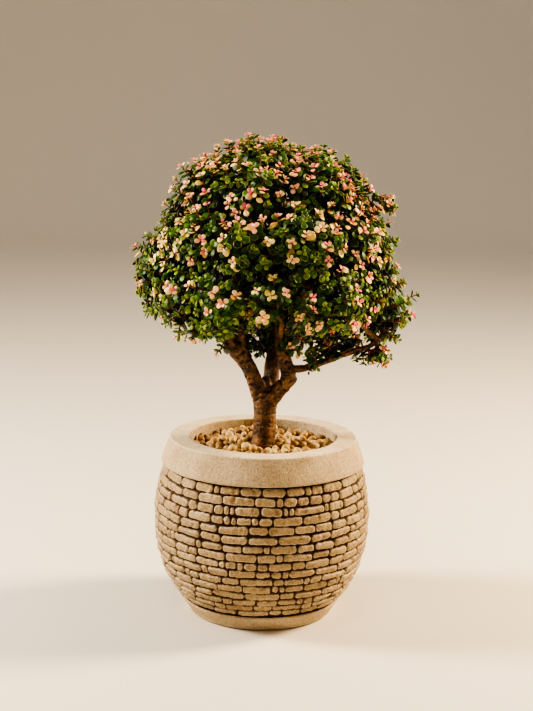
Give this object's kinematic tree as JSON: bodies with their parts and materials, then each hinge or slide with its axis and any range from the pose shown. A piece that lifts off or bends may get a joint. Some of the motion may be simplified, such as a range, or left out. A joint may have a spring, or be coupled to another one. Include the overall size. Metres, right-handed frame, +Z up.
{
  "type": "potted jade plant",
  "caption": "Small-leaved jade trained as a little tree with a round crown, standing in a rounded cast-stone pot with stone-course relief and a pebble top dressing.",
  "frame": {"origin": "centre of the pot's flat underside, on the surface it stands on", "axes": "+Z up along the pot's axis and the trunk, -Y towards the front, +X to the right, where the low branch reaches out"},
  "size_m": [0.2751, 0.2583, 0.4828],
  "materials": {
    "cast_stone": "matte",
    "potting_mix": "matte",
    "pebbles": "satin",
    "bark": "matte",
    "leaves": "satin"
  },
  "bodies": {
    "root": {"pot": "cast_stone", "potting_soil": "potting_mix", "pebble_top_dressing": "pebbles", "trunk": "bark", "right_limb": "bark", "back_limb": "bark", "left_limb": "bark", "low_branch": "bark", "leaf_spray_top": "leaves", "leaf_spray_upper_1": "leaves", "leaf_spray_upper_2": "leaves", "leaf_spray_upper_3": "leaves", "leaf_spray_upper_4": "leaves", "leaf_spray_upper_5": "leaves", "leaf_spray_upper_6": "leaves", "leaf_spray_middle_1": "leaves", "leaf_spray_middle_2": "leaves", "leaf_spray_middle_3": "leaves", "leaf_spray_middle_4": "leaves", "leaf_spray_middle_5": "leaves", "leaf_spray_middle_6": "leaves", "leaf_spray_middle_7": "leaves", "leaf_spray_middle_8": "leaves", "leaf_spray_middle_9": "leaves", "leaf_spray_middle_10": "leaves", "leaf_spray_lower_1": "leaves", "leaf_spray_lower_2": "leaves", "leaf_spray_lower_3": "leaves", "leaf_spray_lower_4": "leaves", "leaf_spray_lower_5": "leaves", "leaf_spray_lower_6": "leaves", "leaf_spray_lower_7": "leaves", "leaf_spray_lower_8": "leaves", "leaf_spray_lower_9": "leaves", "leaf_spray_lower_10": "leaves", "leaf_spray_lower_11": "leaves", "leaf_spray_under_1": "leaves", "leaf_spray_under_2": "leaves", "leaf_spray_under_3": "leaves", "leaf_spray_under_4": "leaves", "leaf_spray_under_5": "leaves", "leaf_spray_under_6": "leaves", "leaf_spray_right_shoulder": "leaves", "leaf_spray_right_twig": "leaves", "leaf_spray_low_branch": "leaves"}
  },
  "joints": []
}
